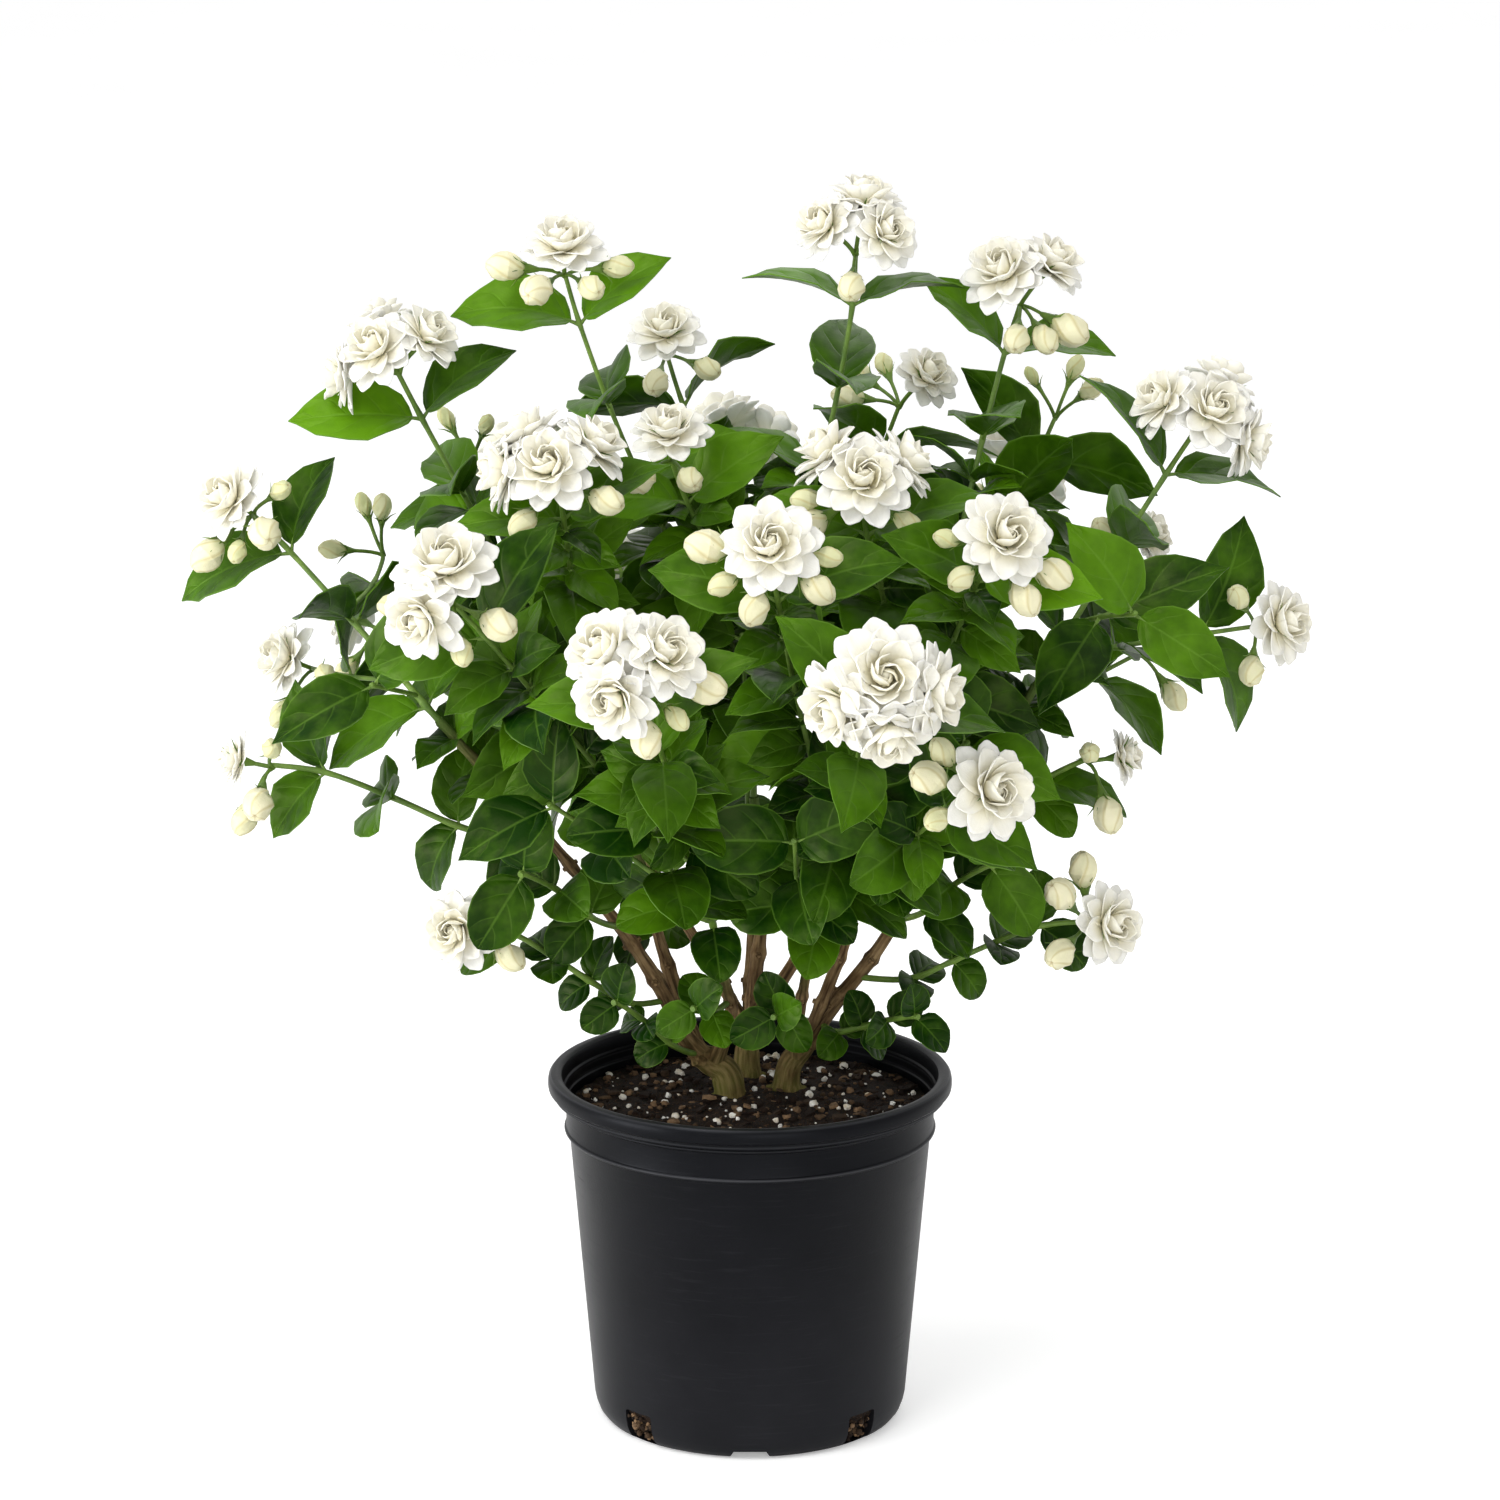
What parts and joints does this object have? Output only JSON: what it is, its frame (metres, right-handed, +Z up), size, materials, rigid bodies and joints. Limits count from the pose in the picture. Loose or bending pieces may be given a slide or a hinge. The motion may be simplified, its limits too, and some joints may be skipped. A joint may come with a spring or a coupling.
{
  "type": "potted plant",
  "caption": "Bushy jasmine in a round tapered nursery pot: woody stems in soil, glossy paired leaves, cream buds and heads of white double blooms.",
  "frame": {"origin": "centre of the pot's flat base, on the ground", "axes": "+Z up along the pot's axis; -Y towards the front of the bush; +X to the right seen from the front"},
  "size_m": [0.5965, 0.5201, 0.6614],
  "materials": {
    "pot": "black moulded plastic with a satin sheen",
    "soil": "dark crumbly potting mix with bark and pale perlite",
    "wood": "tan-brown bark, mossy at the foot",
    "leaf": "glossy deep green leaves and green shoots, with cream buds on yellow-green stalks",
    "petal": "soft white petals, ivory at the heart"
  },
  "bodies": {
    "root": {"blooms_back_inner": "petal", "blooms_back_left_low": "petal", "blooms_back_left_outer": "petal", "blooms_back_left_top": "petal", "blooms_back_low": "petal", "blooms_back_right_low": "petal", "blooms_back_right_outer": "petal", "blooms_back_right_top": "petal", "blooms_back_top": "petal", "blooms_centre": "petal", "blooms_centre_right_top": "petal", "blooms_front_left": "petal", "blooms_front_right": "petal", "blooms_left_front": "petal", "blooms_left_low": "petal", "blooms_left_outer": "petal", "blooms_left_side": "petal", "blooms_low_left": "petal", "blooms_low_right": "petal", "blooms_right_back": "petal", "blooms_right_front": "petal", "blooms_right_low_front": "petal", "blooms_right_outer": "petal", "blooms_right_side": "petal", "blooms_right_upper": "petal", "blooms_top_back": "petal", "blooms_top_front": "petal", "blooms_top_left": "petal", "blooms_top_right": "petal", "blooms_upper_left": "petal", "blooms_upper_left_front": "petal", "blooms_upper_right": "petal", "branch_back": "leaf", "branch_back_left": "leaf", "branch_back_right": "leaf", "branch_front_left": "leaf", "branch_front_right": "leaf", "branch_left": "leaf", "branch_left_side": "leaf", "branch_low_left": "leaf", "branch_low_right": "leaf", "branch_right": "leaf", "branch_right_side": "leaf", "branch_top": "leaf", "branch_upper_left": "leaf", "branch_upper_right": "leaf", "pot": "pot", "soil": "soil", "trunk_left": "wood", "trunk_middle": "wood", "trunk_right": "wood", "twig_foot_back": "leaf", "twig_foot_front": "leaf", "twig_foot_left": "leaf", "twig_foot_middle": "leaf", "twig_foot_right": "leaf", "twig_mid_left": "leaf", "twig_mid_right": "leaf"}
  },
  "joints": []
}
